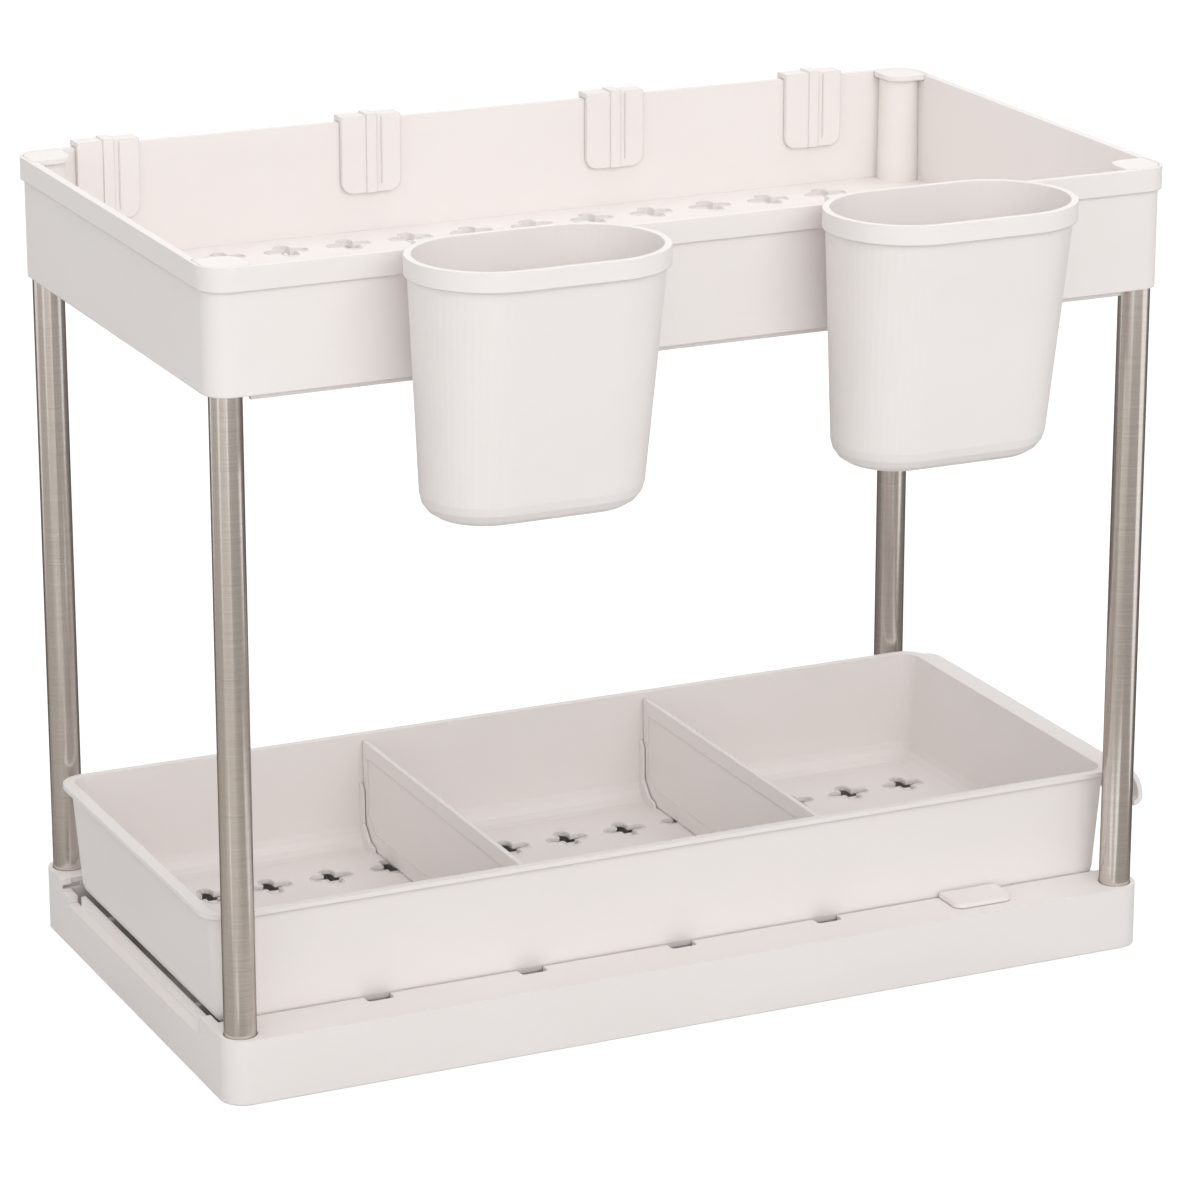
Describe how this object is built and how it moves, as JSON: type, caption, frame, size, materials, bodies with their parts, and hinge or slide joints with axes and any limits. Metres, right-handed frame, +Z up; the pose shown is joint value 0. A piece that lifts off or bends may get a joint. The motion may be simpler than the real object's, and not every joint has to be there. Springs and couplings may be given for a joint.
{
  "type": "under sink organizer",
  "caption": "Two-level under-sink organizer: notched base with a sliding divided drawer, steel posts, upper tray with drain holes, hanging cups and hooks.",
  "frame": {"origin": "middle of the base's flat underside, on the floor", "axes": "+X along the length, the way the drawer pulls out; +Y to the back, where the hooks hang; +Z up"},
  "size_m": [0.4167, 0.2986, 0.33],
  "materials": {
    "plastic": "fine matte",
    "steel": "brushed along the tube"
  },
  "bodies": {
    "stand": {"base_frame": "plastic", "upper_tray": "plastic", "tube_front_left": "steel", "tube_front_right": "steel", "tube_back_left": "steel", "tube_back_right": "steel", "cap_front_left": "plastic", "cap_front_right": "plastic", "cap_back_left": "plastic", "cap_back_right": "plastic"},
    "drawer_body": {"drawer": "plastic"},
    "divider_left_body": {"divider_left": "plastic"},
    "divider_right_body": {"divider_right": "plastic"},
    "cup_left_body": {"cup_left": "plastic"},
    "cup_right_body": {"cup_right": "plastic"},
    "hook_1_body": {"hook_1": "plastic"},
    "hook_2_body": {"hook_2": "plastic"},
    "hook_3_body": {"hook_3": "plastic"},
    "hook_4_body": {"hook_4": "plastic"},
    "stop_clip_body": {"stop_clip": "plastic"}
  },
  "joints": [
    {"name": "drawer_slide", "type": "slide", "parent": "stand", "child": "drawer_body", "axis": [1, 0, 0], "range_m": [0, 0.28]},
    {"name": "divider_left_lift", "type": "slide", "parent": "drawer_body", "child": "divider_left_body", "axis": [0, 0, 1], "range_m": [0, 0.05]},
    {"name": "divider_right_lift", "type": "slide", "parent": "drawer_body", "child": "divider_right_body", "axis": [0, 0, 1], "range_m": [0, 0.05]},
    {"name": "cup_left_lift", "type": "slide", "parent": "stand", "child": "cup_left_body", "axis": [0, 0, 1], "range_m": [0, 0.03]},
    {"name": "cup_right_lift", "type": "slide", "parent": "stand", "child": "cup_right_body", "axis": [0, 0, 1], "range_m": [0, 0.03]},
    {"name": "hook_1_lift", "type": "slide", "parent": "stand", "child": "hook_1_body", "axis": [0, 0, 1], "range_m": [0, 0.035]},
    {"name": "hook_2_lift", "type": "slide", "parent": "stand", "child": "hook_2_body", "axis": [0, 0, 1], "range_m": [0, 0.035]},
    {"name": "hook_3_lift", "type": "slide", "parent": "stand", "child": "hook_3_body", "axis": [0, 0, 1], "range_m": [0, 0.035]},
    {"name": "hook_4_lift", "type": "slide", "parent": "stand", "child": "hook_4_body", "axis": [0, 0, 1], "range_m": [0, 0.035]},
    {"name": "stop_clip_lift", "type": "slide", "parent": "stand", "child": "stop_clip_body", "axis": [0, 0, 1], "range_m": [0, 0.015]}
  ]
}
